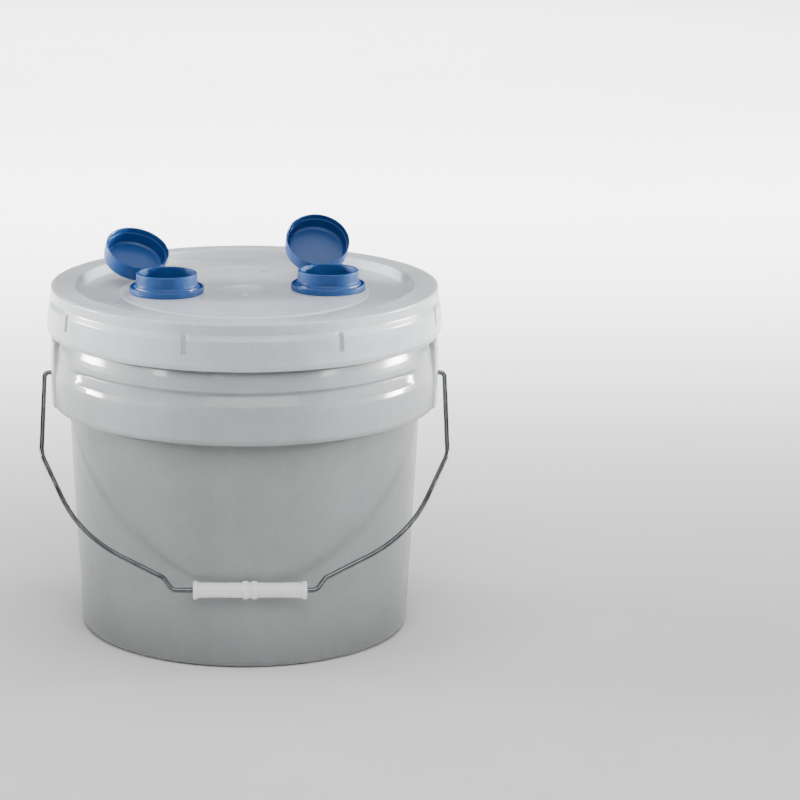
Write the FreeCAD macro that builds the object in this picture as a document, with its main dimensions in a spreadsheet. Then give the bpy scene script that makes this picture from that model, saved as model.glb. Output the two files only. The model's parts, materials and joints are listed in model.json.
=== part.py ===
import FreeCAD, Part
import math
import os
import PartDesign
import Sketcher
from FreeCAD import Vector, Rotation, Placement

# Lidded plastic bucket with two flip-capped ports in the lid and a wire bail.
# Units are millimetres.  +Z is up, the origin is the centre of the base on the
# plane it stands on, and -Y is the front, where the bail hangs.

DOC = FreeCAD.newDocument("FermentingBucket")
SHEET = DOC.addObject("Spreadsheet::Sheet", "Sheet")

SIZES = [
    # bucket
    ("base_radius", 131.1), ("base_height", 6.0), ("foot_outer", 123.5), ("foot_inner", 108.0),
    ("base_rise", 2.5), ("floor_top", 5.0), ("wall_thick", 2.4), ("bore_floor", 128.7),
    ("bore_neck", 141.3), ("bore_rim", 143.0), ("wall_top_radius", 141.5),
    ("skirt_bottom", 183.3), ("skirt_radius", 152.4), ("skirt_inner", 149.9),
    ("web_z", 214.0), ("shoulder_z", 209.5), ("groove_z", 221.0), ("groove_radius", 146.5),
    ("ring_lip_z", 224.4), ("ring_radius", 150.5), ("ring_top_z", 238.0), ("ring_top_radius", 147.5),
    ("neck_radius", 145.2), ("bead_z", 262.0), ("bead_radius", 150.2), ("rim_z", 273.0),
    ("gusset_bottom", 189.0), ("gusset_thick", 2.0), ("gusset_count", 12),
    ("ear_radius", 153.8), ("ear_angle", 27.0), ("ear_top", 237.0), ("ear_axis_z", 204.2),
    ("ear_hole_radius", 1.96),
    # lid
    ("lid_bottom", 241.2), ("lid_bottom_radius", 154.8), ("lid_flare_z", 245.0), ("lid_max_radius", 156.8),
    ("lid_step_z", 264.0), ("lid_step_radius", 155.3), ("lid_band_z", 268.0), ("lid_band_radius", 153.3),
    ("lid_top", 277.6), ("lid_under", 275.2), ("lid_inner_radius", 150.8), ("recess_radius", 133.6),
    ("recess_foot_radius", 130.2), ("channel_z", 269.7), ("plateau_radius", 97.8), ("plateau_z", 271.0),
    ("lid_thick", 2.4), ("dimple_radius", 20.4), ("dimple_z", 269.8), ("gate_radius", 3.0),
    ("plug_radius", 141.6), ("plug_bottom", 262.0), ("plug_thick", 1.8),
    ("notch_floor", 153.2), ("notch_width", 4.2), ("notch_top", 269.4), ("notch_bottom", 252.8),
    ("notch_count", 8), ("notch_angle", -62.1),
    ("gasket_inner", 143.3), ("gasket_outer", 149.3), ("gasket_bottom", 273.4),
    # ports
    ("port_x_left", 61.5), ("port_y_left", 6.0), ("port_x_right", 66.4), ("port_y_right", 6.0), ("port_hole_radius", 24.4), ("port_bore", 21.9),
    ("port_radius", 24.15), ("port_top", 286.8), ("port_bottom", 258.0), ("flange_radius", 29.5),
    ("flange_lip", 276.2), ("saucer_z", 273.8), ("bead_port", 25.8), ("bead_port_z", 277.2),
    ("washer_outer", 29.6), ("washer_thick", 1.9), ("nut_outer", 30.4), ("nut_height", 6.0),
    ("nut_bore", 24.25), ("nut_notch", 1.6), ("nut_lobes", 12),
    # flip caps, drawn closed
    ("cap_radius", 25.7), ("cap_inner", 24.6), ("cap_mouth_drop", 4.0), ("cap_depth", 15.5),
    ("cap_wall", 1.5), ("hinge_reach", 26.83), ("hinge_drop", 3.1), ("hinge_width", 12.0),
    ("web_radius", 0.7), ("open_left", 150.0), ("open_right", 138.5), ("yaw_left", 29.0), ("yaw_right", 9.0),
    # bail
    ("wire_radius", 1.88), ("bail_tilt", 46.0), ("bail_half", 159.3), ("bail_pin_end", 144.8),
    ("bail_head_radius", 3.2), ("bail_head_thick", 1.6), ("bail_knee", 75.7), ("bail_mid_x", 127.3),
    ("bail_mid_s", 149.5), ("bail_kink_x", 62.0), ("bail_kink_s", 186.7), ("bail_flat_x", 55.0),
    ("bail_drop", 197.3),
    ("grip_length", 87.0), ("grip_centre", 4.2), ("grip_bore", 1.97), ("grip_radius", 6.0),
    ("grip_waist", 5.7), ("grip_flange", 7.2),
]
V = {}
for row, (alias, value) in enumerate(SIZES, start=1):
    SHEET.set("A%d" % row, alias)
    SHEET.set("B%d" % row, repr(value))
    SHEET.setAlias("B%d" % row, alias)
    V[alias] = value
DOC.recompute()

NODES = []


def val(term):
    """Number of a term: a plain number, an alias, or (alias, offset)."""
    if isinstance(term, (int, float)):
        return float(term)
    if isinstance(term, str):
        return V[term]
    return V[term[0]] + term[1]


def expr(term):
    """Spreadsheet expression of the same term."""
    if isinstance(term, (int, float)):
        return None
    if isinstance(term, str):
        return "Sheet." + term
    return "Sheet.%s + (%r)" % (term[0], float(term[1]))


def new_body(label):
    body = DOC.addObject("PartDesign::Body", "Body_" + label)
    body.Label = label
    NODES.append(body)
    return body


def plane(body, role):
    for feature in body.Origin.OriginFeatures:
        if feature.Role == role:
            return feature
    raise RuntimeError("no plane " + role)


def new_sketch(body, name, role, offset=None):
    sketch = body.newObject("Sketcher::SketchObject", name)
    sketch.AttachmentSupport = [(plane(body, role), "")]
    sketch.MapMode = "FlatFace"
    if offset is not None:
        sketch.AttachmentOffset = offset
    return sketch


def polygon(sketch, points):
    """Closed polygon; each vertex is held by distances bound to the sheet."""
    count = len(points)
    xy = [(val(a), val(b)) for a, b in points]
    for i in range(count):
        j = (i + 1) % count
        sketch.addGeometry(Part.LineSegment(Vector(xy[i][0], xy[i][1], 0), Vector(xy[j][0], xy[j][1], 0)), False)
    for i in range(count):
        sketch.addConstraint(Sketcher.Constraint("Coincident", i, 2, (i + 1) % count, 1))
    for i, (a, b) in enumerate(points):
        for kind, term, value in (("DistanceX", a, xy[i][0]), ("DistanceY", b, xy[i][1])):
            if abs(value) < 1e-9 and expr(term) is None:
                index = sketch.addConstraint(Sketcher.Constraint("PointOnObject", i, 1, -2 if kind == "DistanceX" else -1))
            else:
                index = sketch.addConstraint(Sketcher.Constraint(kind, -1, 1, i, 1, value))
                if expr(term) is not None:
                    sketch.setExpression("Constraints[%d]" % index, expr(term))


def circles(sketch, items):
    for i, (cx, cy, radius) in enumerate(items):
        sketch.addGeometry(Part.Circle(Vector(val(cx), val(cy), 0), Vector(0, 0, 1), val(radius)), False)
        for kind, term in (("DistanceX", cx), ("DistanceY", cy)):
            if abs(val(term)) < 1e-9:
                sketch.addConstraint(Sketcher.Constraint("PointOnObject", i, 3, -2 if kind == "DistanceX" else -1))
            else:
                index = sketch.addConstraint(Sketcher.Constraint(kind, -1, 1, i, 3, val(term)))
                if expr(term):
                    sketch.setExpression("Constraints[%d]" % index, expr(term))
        index = sketch.addConstraint(Sketcher.Constraint("Radius", i, val(radius)))
        if expr(radius):
            sketch.setExpression("Constraints[%d]" % index, expr(radius))


def lathe(body, points, name="Profile", axis="V_Axis"):
    """Solid of revolution of a closed profile drawn in the XZ plane."""
    sketch = new_sketch(body, name + "_" + body.Label, "XZ_Plane")
    polygon(sketch, points)
    turn = body.newObject("PartDesign::Revolution", "Turn_" + name + "_" + body.Label)
    turn.Profile = sketch
    turn.ReferenceAxis = (sketch, [axis])
    turn.Angle = 360
    DOC.recompute()
    return turn


def volume(body):
    DOC.recompute()
    return body.Shape.Volume


def pattern(body, feature, name, count_alias, axis_role="Z_Axis"):
    polar = body.newObject("PartDesign::PolarPattern", name)
    polar.Originals = [feature]
    polar.Axis = (plane(body, axis_role), [""])
    polar.Angle = 360
    polar.Occurrences = int(V[count_alias]) if isinstance(count_alias, str) else count_alias
    if isinstance(count_alias, str):
        polar.setExpression("Occurrences", "Sheet." + count_alias)
    body.Tip = polar
    DOC.recompute()
    return polar


# ---------------------------------------------------------------- bucket shell
bucket = new_body("bucket_shell")
lathe(bucket, [
    (0, "base_rise"), (("foot_inner", -2.0), "base_rise"), ("foot_inner", 0), ("foot_outer", 0),
    (("base_radius", -3.4), 1.3), (("base_radius", -0.9), 3.7), ("base_radius", "base_height"),
    # drafted wall, up to the root of the skirt
    ("wall_top_radius", ("web_z", 0.0)),
    # open-bottomed skirt below the lid
    ("skirt_inner", ("web_z", -3.2)), ("skirt_inner", "skirt_bottom"), ("skirt_radius", "skirt_bottom"),
    ("skirt_radius", "shoulder_z"), (("skirt_radius", -1.2), ("shoulder_z", 3.6)),
    (("skirt_radius", -2.6), ("shoulder_z", 5.6)), ("groove_radius", "groove_z"),
    # ring between the skirt and the lid
    (("groove_radius", 0.6), ("groove_z", 1.2)), ("ring_radius", "ring_lip_z"),
    (("ring_radius", -0.1), ("ring_lip_z", 3.6)), (("ring_radius", -1.2), ("ring_lip_z", 8.6)),
    ("ring_top_radius", "ring_top_z"), ("neck_radius", ("ring_top_z", 5.0)),
    # rim bead that the lid closes on
    ("neck_radius", ("bead_z", -4.5)), ("bead_radius", "bead_z"), ("bead_radius", ("rim_z", -3.0)),
    (("bead_radius", -2.2), "rim_z"), (("bore_rim", 1.0), "rim_z"), ("bore_rim", ("rim_z", -1.5)),
    ("bore_rim", ("bead_z", -3.0)), ("bore_neck", ("bead_z", -6.0)),
    # inside wall and floor
    ("bore_floor", ("floor_top", 5.0)), (("bore_floor", -1.6), ("floor_top", 1.4)),
    (("bore_floor", -5.0), "floor_top"), (0, "floor_top"),
])

# Smooth ear panels either side, where the bail is hooked in.
ear_sketch = new_sketch(bucket, "EarProfile", "XZ_Plane")
polygon(ear_sketch, [
    (("skirt_inner", 0.6), "skirt_bottom"), ("ear_radius", "skirt_bottom"), ("ear_radius", ("ear_top", -3.0)),
    (("ear_radius", -2.6), "ear_top"), (("neck_radius", -0.8), "ear_top"), (("neck_radius", -0.8), ("web_z", 1.0)),
    (("skirt_inner", 0.6), ("web_z", -2.4)),
])
ear = bucket.newObject("PartDesign::Revolution", "EarPanel")
ear.Profile = ear_sketch
ear.ReferenceAxis = (ear_sketch, ["V_Axis"])
ear.Midplane = True
ear.Angle = V["ear_angle"]
ear.setExpression("Angle", "Sheet.ear_angle")
DOC.recompute()
before = volume(bucket)
pattern(bucket, ear, "EarPair", 2)
if bucket.Shape.Volume <= before:
    raise RuntimeError("ear panels missing")

# Upright gussets behind the skirt.
gusset_sketch = new_sketch(bucket, "GussetProfile", "XY_Plane",
                           Placement(Vector(0, 0, V["gusset_bottom"]), Rotation(Vector(0, 0, 1), 15.0)))
gusset_sketch.setExpression("AttachmentOffset.Base.z", "Sheet.gusset_bottom")
half = V["gusset_thick"] / 2
polygon(gusset_sketch, [(140.0, -half), (150.6, -half), (150.6, half), (140.0, half)])
gusset = bucket.newObject("PartDesign::Pad", "Gusset")
gusset.Profile = gusset_sketch
gusset.Length = V["web_z"] - V["gusset_bottom"] - 0.4
gusset.setExpression("Length", "Sheet.web_z - Sheet.gusset_bottom - 0.4")
before = volume(bucket)
pattern(bucket, gusset, "GussetRing", "gusset_count")
if bucket.Shape.Volume <= before:
    raise RuntimeError("gussets missing")

# Bail holes through the ears.
hole_sketch = new_sketch(bucket, "BailHole", "YZ_Plane", Placement(Vector(0, 0, 147.0), Rotation()))
circles(hole_sketch, [(0, "ear_axis_z", "ear_hole_radius")])
hole = bucket.newObject("PartDesign::Pocket", "BailHoleCut")
hole.Profile = hole_sketch
hole.Length = 12.0
hole.Reversed = True
before = bucket.Shape.Volume
if volume(bucket) >= before - 10:
    raise RuntimeError("bail hole cut nothing")
before = bucket.Shape.Volume
pattern(bucket, hole, "BailHolePair", 2)
if bucket.Shape.Volume >= before - 10:
    raise RuntimeError("second bail hole cut nothing")

# ---------------------------------------------------------------- lid
lid = new_body("lid_shell")
lathe(lid, [
    (0, "dimple_z"), ("gate_radius", "dimple_z"), (("dimple_radius", -1.6), "dimple_z"), ("dimple_radius", "plateau_z"),
    ("plateau_radius", "plateau_z"), (("plateau_radius", 1.2), "channel_z"), ("recess_foot_radius", "channel_z"),
    (("recess_foot_radius", 0.8), ("channel_z", 0.9)),
    ("recess_radius", ("lid_top", -1.0)), (("recess_radius", 1.2), "lid_top"), (("lid_band_radius", -2.6), "lid_top"),
    (("lid_band_radius", -0.7), ("lid_top", -0.5)), ("lid_band_radius", ("lid_top", -1.6)),
    ("lid_band_radius", "lid_band_z"), ("lid_step_radius", "lid_step_z"), ("lid_max_radius", "lid_flare_z"),
    (("lid_max_radius", -0.4), ("lid_flare_z", -1.6)), ("lid_bottom_radius", "lid_bottom"),
    (("lid_bottom_radius", -2.2), "lid_bottom"),
    # inside of the skirt, smooth so that the lid lifts straight off
    (("lid_bottom_radius", -2.4), ("lid_bottom", 5.0)), (("lid_inner_radius", 1.1), ("lid_band_z", -14.0)),
    (("lid_inner_radius", 0.6), ("lid_band_z", -4.0)), ("lid_inner_radius", ("lid_band_z", 2.0)),
    ("lid_inner_radius", ("lid_under", -0.8)), (("lid_inner_radius", -0.8), "lid_under"),
    # plug ring inside the rim
    ("plug_radius", "lid_under"), (("plug_radius", -0.2), "plug_bottom"), (("plug_radius", -1.6), "plug_bottom"),
    (("plug_radius", -2.0), "lid_under"), (("recess_radius", 2.4), "lid_under"),
    (("recess_foot_radius", 2.6), ("channel_z", -1.6)), (("recess_foot_radius", 1.6), ("channel_z", -2.4)),
    (("plateau_radius", -0.2), ("channel_z", -2.4)), (("plateau_radius", -1.4), ("plateau_z", -2.4)),
    (("dimple_radius", 1.0), ("plateau_z", -2.4)), (("dimple_radius", -0.6), ("dimple_z", -2.4)),
    (0, ("dimple_z", -2.4)),
])
port_holes = new_sketch(lid, "PortHoles", "XY_Plane")
port_holes.addGeometry(Part.Circle(Vector(-V["port_x_left"], -V["port_y_left"], 0), Vector(0, 0, 1), V["port_hole_radius"]), False)
port_holes.addGeometry(Part.Circle(Vector(V["port_x_right"], V["port_y_right"], 0), Vector(0, 0, 1), V["port_hole_radius"]), False)
for i, side, sign in ((0, "left", -1), (1, "right", 1)):
    ends = ((i, 3, -1, 1) if sign < 0 else (-1, 1, i, 3))
    k = port_holes.addConstraint(Sketcher.Constraint("DistanceX", *ends, V["port_x_" + side]))
    port_holes.setExpression("Constraints[%d]" % k, "Sheet.port_x_" + side)
    k = port_holes.addConstraint(Sketcher.Constraint("DistanceY", *ends, V["port_y_" + side]))
    port_holes.setExpression("Constraints[%d]" % k, "Sheet.port_y_" + side)
    k = port_holes.addConstraint(Sketcher.Constraint("Radius", i, V["port_hole_radius"]))
    port_holes.setExpression("Constraints[%d]" % k, "Sheet.port_hole_radius")
cut = lid.newObject("PartDesign::Pocket", "PortHoleCut")
cut.Profile = port_holes
cut.Length = 400.0
cut.Reversed = True
before = lid.Shape.Volume
if volume(lid) >= before - 4000:
    raise RuntimeError("port holes cut nothing")

# Upright notches round the lid's skirt, where a lever goes in to lift it.
notch_sketch = new_sketch(lid, "NotchProfile", "XY_Plane",
                          Placement(Vector(0, 0, V["notch_top"]), Rotation(Vector(0, 0, 1), V["notch_angle"])))
notch_sketch.setExpression("AttachmentOffset.Base.z", "Sheet.notch_top")
half = V["notch_width"] / 2
polygon(notch_sketch, [("notch_floor", -half), (161.0, -half), (161.0, half), ("notch_floor", half)])
notch = lid.newObject("PartDesign::Pocket", "Notch")
notch.Profile = notch_sketch
notch.Length = V["notch_top"] - V["notch_bottom"]
notch.setExpression("Length", "Sheet.notch_top - Sheet.notch_bottom")
before = lid.Shape.Volume
if volume(lid) >= before - 20:
    raise RuntimeError("notch cut nothing")
before = lid.Shape.Volume
pattern(lid, notch, "NotchRing", "notch_count")
if lid.Shape.Volume >= before - 100:
    raise RuntimeError("notch pattern cut nothing")

gasket = new_body("lid_gasket")
lathe(gasket, [
    ("gasket_inner", "lid_under"), ("gasket_inner", ("gasket_bottom", 0.5)), (("gasket_inner", 0.5), "gasket_bottom"),
    (("gasket_outer", -0.5), "gasket_bottom"), ("gasket_outer", ("gasket_bottom", 0.5)), ("gasket_outer", "lid_under"),
])

# ---------------------------------------------------------------- ports
SIDES = (("left", -1), ("right", 1))


def at_port(body, side, sign):
    body.Placement = Placement(Vector(sign * V["port_x_" + side], sign * V["port_y_" + side], 0), Rotation())
    body.setExpression("Placement.Base.x", "%d * Sheet.port_x_%s" % (sign, side))
    body.setExpression("Placement.Base.y", "%d * Sheet.port_y_%s" % (sign, side))


for side, sign in SIDES:
    neck = new_body("port_neck_" + side)
    lathe(neck, [
        ("port_bore", "port_bottom"), ("port_radius", "port_bottom"), ("port_radius", "plateau_z"),
        ("flange_radius", "plateau_z"), ("flange_radius", ("flange_lip", -0.7)), (("flange_radius", -0.8), "flange_lip"),
        (("flange_radius", -1.4), ("flange_lip", -0.2)), (("flange_radius", -2.3), "saucer_z"),
        (("bead_port", 0.4), "saucer_z"), ("bead_port", ("bead_port_z", -0.9)), (("bead_port", -0.7), "bead_port_z"),
        ("port_radius", ("bead_port_z", 0.3)), ("port_radius", ("port_top", -0.6)), (("port_radius", -0.6), "port_top"),
        (("port_bore", 0.4), "port_top"), ("port_bore", ("port_top", -0.4)),
    ])
    # lug at the back of the neck, which the living hinge grows from
    yaw = 90.0 + V["yaw_" + side]
    lug_sketch = new_sketch(neck, "Lug_" + side, "XY_Plane",
                            Placement(Vector(0, 0, V["port_top"] - 8.4), Rotation(Vector(0, 0, 1), yaw)))
    lug_sketch.setExpression("AttachmentOffset.Base.z", "Sheet.port_top - 8.4")
    polygon(lug_sketch, [(23.2, -6.5), (27.6, -6.0), (27.6, 6.0), (23.2, 6.5)])
    lug = neck.newObject("PartDesign::Pad", "LugPad_" + side)
    lug.Profile = lug_sketch
    lug.Length = 2.6
    DOC.recompute()
    at_port(neck, side, sign)

    washer = new_body("port_gasket_" + side)
    lathe(washer, [
        ("port_hole_radius", ("plateau_z", -2.4)), ("port_hole_radius", ("plateau_z", -4.3)),
        ("washer_outer", ("plateau_z", -4.3)), ("washer_outer", ("plateau_z", -2.4)),
    ])
    at_port(washer, side, sign)

    nut = new_body("port_locknut_" + side)
    lathe(nut, [
        ("nut_bore", ("plateau_z", -4.3)), ("nut_bore", ("plateau_z", -10.3)), (("nut_outer", -1.0), ("plateau_z", -10.3)),
        ("nut_outer", ("plateau_z", -9.3)), ("nut_outer", ("plateau_z", -5.1)), (("nut_outer", -0.8), ("plateau_z", -4.3)),
    ])
    grip_sketch = new_sketch(nut, "NutNotch_" + side, "XY_Plane", Placement(Vector(0, 0, V["plateau_z"] - 4.2), Rotation()))
    grip_sketch.setExpression("AttachmentOffset.Base.z", "Sheet.plateau_z - 4.2")
    polygon(grip_sketch, [(("nut_outer", -1.8), -2.0), (("nut_outer", 1.0), -3.2), (("nut_outer", 1.0), 3.2), (("nut_outer", -1.8), 2.0)])
    grip_cut = nut.newObject("PartDesign::Pocket", "NutNotchCut_" + side)
    grip_cut.Profile = grip_sketch
    grip_cut.Length = 6.4
    before = nut.Shape.Volume
    if volume(nut) >= before - 5:
        raise RuntimeError("nut notch cut nothing")
    pattern(nut, grip_cut, "NutNotches_" + side, "nut_lobes")
    at_port(nut, side, sign)

    # Flip cap, drawn closed on the neck about the port's own axis, then swung open.
    cap = new_body("port_cap_" + side)
    lathe(cap, [
        (("cap_inner", 0.5), ("port_top", -4.0)), ("cap_radius", ("port_top", -4.0)), (("cap_radius", -0.35), ("port_top", 8.0)),
        (("cap_radius", -1.3), ("port_top", 10.4)), (("cap_radius", -3.6), ("port_top", 11.5)),
        (0, ("port_top", 11.5)), (0, ("port_top", 9.9)),
        (("cap_inner", -3.4), ("port_top", 9.9)), (("cap_inner", -1.5), ("port_top", 8.6)),
        (("cap_inner", -0.9), ("port_top", 0.4)), ("cap_inner", ("port_top", 0.4)), ("cap_inner", ("port_top", -3.3)),
    ])
    # flat on the cap's side where the hinge joins it
    tab_sketch = new_sketch(cap, "Tab_" + side, "XY_Plane",
                            Placement(Vector(0, 0, V["port_top"] - 3.6), Rotation(Vector(0, 0, 1), yaw)))
    tab_sketch.setExpression("AttachmentOffset.Base.z", "Sheet.port_top - 3.6")
    polygon(tab_sketch, [(24.9, -5.6), (25.95, -5.6), (25.95, 5.6), (24.9, 5.6)])
    tab = cap.newObject("PartDesign::Pad", "TabPad_" + side)
    tab.Profile = tab_sketch
    tab.Length = 4.2
    DOC.recompute()
    angle = math.radians(V["yaw_" + side])
    out = Vector(-math.sin(angle), math.cos(angle), 0)
    axis = Vector(0, 0, 1).cross(out)
    pole = Vector(sign * V["port_x_" + side], sign * V["port_y_" + side], 0) + out * V["hinge_reach"] + Vector(0, 0, V["port_top"] - V["hinge_drop"])
    swing = Placement(Vector(0, 0, 0), Rotation(axis, V["open_" + side]), pole)
    cap.Placement = swing.multiply(Placement(Vector(sign * V["port_x_" + side], sign * V["port_y_" + side], 0), Rotation()))

    # Living hinge: a thin flexing strip on the hinge line, rooted in the neck's lug.
    web = new_body("hinge_web_" + side)
    strip = new_sketch(web, "Strip_" + side, "XZ_Plane", Placement(Vector(0, 0, -V["hinge_width"] / 2), Rotation()))
    strip.setExpression("AttachmentOffset.Base.z", "-Sheet.hinge_width / 2")
    circles(strip, [("hinge_reach", ("port_top", -3.1), "web_radius")])
    bead = web.newObject("PartDesign::Pad", "StripPad_" + side)
    bead.Profile = strip
    bead.Length = V["hinge_width"]
    bead.setExpression("Length", "Sheet.hinge_width")
    leaf_sketch = new_sketch(web, "Leaf_" + side, "XY_Plane", Placement(Vector(0, 0, V["port_top"] - 5.8), Rotation()))
    leaf_sketch.setExpression("AttachmentOffset.Base.z", "Sheet.port_top - 5.8")
    polygon(leaf_sketch, [(("hinge_reach", -0.45), -5.6), (("hinge_reach", 0.45), -5.6), (("hinge_reach", 0.45), 5.6), (("hinge_reach", -0.45), 5.6)])
    leaf = web.newObject("PartDesign::Pad", "LeafPad_" + side)
    leaf.Profile = leaf_sketch
    leaf.Length = 2.7
    DOC.recompute()
    web.Placement = Placement(Vector(sign * V["port_x_" + side], sign * V["port_y_" + side], 0), Rotation(Vector(0, 0, 1), yaw))
    web.setExpression("Placement.Base.x", "%d * Sheet.port_x_%s" % (sign, side))
    web.setExpression("Placement.Base.y", "%d * Sheet.port_y_%s" % (sign, side))

# ---------------------------------------------------------------- bail
# Drawn hanging straight down in the XZ plane from the line of the two ears,
# then tilted forward until its grip lies against the front wall.
TILT = Placement(Vector(0, 0, V["ear_axis_z"]), Rotation(Vector(1, 0, 0), -V["bail_tilt"]))


def rounded(points, radii):
    """Straight runs joined by tangent arcs."""
    edges = []
    start = points[0]
    for i in range(1, len(points) - 1):
        corner, after = points[i], points[i + 1]
        a = (points[i - 1] - corner).normalize()
        b = (after - corner).normalize()
        turn = math.pi - math.acos(max(-1.0, min(1.0, a.dot(b))))
        length = radii[i - 1] * math.tan(turn / 2)
        first, last = corner + a * length, corner + b * length
        centre = corner + (a + b).normalize() * (radii[i - 1] / math.cos(turn / 2))
        middle = centre + (corner - centre).normalize() * radii[i - 1]
        edges.append(Part.LineSegment(start, first))
        edges.append(Part.Arc(first, middle, last))
        start = last
    edges.append(Part.LineSegment(start, points[-1]))
    return edges


right = [(V["bail_pin_end"] + 0.8, 0), (V["bail_half"], 0), (V["bail_half"], -V["bail_knee"]), (V["bail_mid_x"], -V["bail_mid_s"]),
         (V["bail_kink_x"], -V["bail_kink_s"]), (V["bail_flat_x"], -V["bail_drop"])]
radii = [4.0, 25.0, 226.0, 6.0, 6.0]
route = [Vector(-x, z, 0) for x, z in right] + [Vector(x, z, 0) for x, z in reversed(right)]
edges = rounded(route, radii + radii[::-1])

bail = new_body("bail_wire")
spine = new_sketch(bail, "BailSpine", "XZ_Plane")
for edge in edges:
    spine.addGeometry(edge, False)
section = new_sketch(bail, "BailSection", "YZ_Plane", Placement(Vector(0, 0, -V["bail_pin_end"] - 0.8), Rotation()))
section.setExpression("AttachmentOffset.Base.z", "-Sheet.bail_pin_end - 0.8")
circles(section, [(0, 0, "wire_radius")])
DOC.recompute()
pipe = bail.newObject("PartDesign::AdditivePipe", "BailPipe")
pipe.Profile = section
pipe.Spine = (spine, ["Edge%d" % (i + 1) for i in range(len(edges))])
DOC.recompute()
length = sum(e.length() for e in edges)
print("bail wire: length %.1f mm, volume ratio %.4f" % (length, bail.Shape.Volume / (math.pi * V["wire_radius"] ** 2 * length)))
for name, sign in (("Left", -1), ("Right", 1)):
    base = sign * V["bail_pin_end"]
    head_sketch = new_sketch(bail, "Head" + name, "YZ_Plane", Placement(Vector(0, 0, base), Rotation()))
    head_sketch.setExpression("AttachmentOffset.Base.z", "%d * Sheet.bail_pin_end" % sign)
    circles(head_sketch, [(0, 0, "bail_head_radius")])
    head = bail.newObject("PartDesign::Pad", "HeadPad" + name)
    head.Profile = head_sketch
    head.Length = V["bail_head_thick"]
    head.setExpression("Length", "Sheet.bail_head_thick")
    head.Reversed = sign < 0
    before = bail.Shape.Volume
    if volume(bail) <= before:
        raise RuntimeError("bail head missing")
bail.Placement = TILT

grip = new_body("bail_grip")
g, c = "grip_length", "grip_centre"
# half-lengths along the grip from its middle, and the radius there
outline = [(-43.5, "grip_flange", -0.7), (-42.8, "grip_flange", 0.0), (-40.6, "grip_flange", 0.0), (-39.9, "grip_radius", 0.3),
           (-38.5, "grip_radius", 0.0), (-20.0, "grip_waist", 0.0), (-5.5, "grip_radius", -0.1), (-4.9, "grip_flange", -0.3),
           (-3.0, "grip_flange", 0.0), (-1.0, "grip_flange", -0.3), (-0.5, "grip_radius", 0.1), (0.5, "grip_radius", 0.1),
           (1.0, "grip_flange", -0.3), (3.0, "grip_flange", 0.0), (4.9, "grip_flange", -0.3), (5.5, "grip_radius", -0.1),
           (20.0, "grip_waist", 0.0), (38.5, "grip_radius", 0.0), (39.9, "grip_radius", 0.3), (40.6, "grip_flange", 0.0),
           (42.8, "grip_flange", 0.0), (43.5, "grip_flange", -0.7)]
profile = [((c, -43.5), "grip_bore")] + [((c, x), (alias, dr)) for x, alias, dr in outline] + [((c, 43.5), "grip_bore")]
lathe(grip, profile, axis="H_Axis")
grip.Placement = TILT.multiply(Placement(Vector(0, 0, -V["bail_drop"]), Rotation()))

DOC.recompute()

# ---------------------------------------------------------------- checks and export
for obj in DOC.Objects:
    if any(word in obj.State for word in ("Invalid", "Error")):
        raise RuntimeError("failed feature: %s %s" % (obj.Name, obj.State))
os.makedirs("parts", exist_ok=True)
for body in NODES:
    shape = body.Shape
    if shape.isNull() or not shape.isValid() or shape.Volume <= 0:
        raise RuntimeError("bad shape: " + body.Label)
    if len(shape.Solids) != 1:
        raise RuntimeError("%s has %d solids" % (body.Label, len(shape.Solids)))
for body in NODES:
    body.Shape.exportStep("parts/%s.step" % body.Label)
    box = body.Shape.BoundBox
    print("%-22s V=%9.1f  x %.1f..%.1f y %.1f..%.1f z %.1f..%.1f" % (
        body.Label, body.Shape.Volume, box.XMin, box.XMax, box.YMin, box.YMax, box.ZMin, box.ZMax))
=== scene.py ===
import bpy
import bmesh
import json
import math
import numpy as np
from mathutils import Matrix, Vector, Quaternion

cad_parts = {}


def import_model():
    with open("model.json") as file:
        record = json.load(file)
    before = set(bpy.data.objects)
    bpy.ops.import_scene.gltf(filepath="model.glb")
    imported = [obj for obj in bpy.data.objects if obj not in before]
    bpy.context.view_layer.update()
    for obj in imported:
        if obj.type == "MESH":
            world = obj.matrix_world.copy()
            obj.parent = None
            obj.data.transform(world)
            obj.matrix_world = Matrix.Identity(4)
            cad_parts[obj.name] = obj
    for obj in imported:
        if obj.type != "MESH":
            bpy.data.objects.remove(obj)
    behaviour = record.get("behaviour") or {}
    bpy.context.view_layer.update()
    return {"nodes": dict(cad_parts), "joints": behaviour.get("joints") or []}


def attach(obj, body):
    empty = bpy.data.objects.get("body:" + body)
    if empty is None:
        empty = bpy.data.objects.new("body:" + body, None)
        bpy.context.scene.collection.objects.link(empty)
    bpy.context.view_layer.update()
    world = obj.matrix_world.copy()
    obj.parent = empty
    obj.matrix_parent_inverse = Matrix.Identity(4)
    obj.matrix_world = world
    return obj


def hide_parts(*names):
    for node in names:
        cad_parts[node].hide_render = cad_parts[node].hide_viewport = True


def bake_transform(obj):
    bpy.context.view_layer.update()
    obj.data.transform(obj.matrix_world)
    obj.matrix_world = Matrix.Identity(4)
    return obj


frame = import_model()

scene = bpy.context.scene
MM = 0.001
JOINTS = {j["name"]: j for j in frame["joints"]}


# ------------------------------------------------------------------ helpers
def smooth(t):
    t = np.clip(t, 0.0, 1.0)
    return t * t * (3 - 2 * t)


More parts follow.
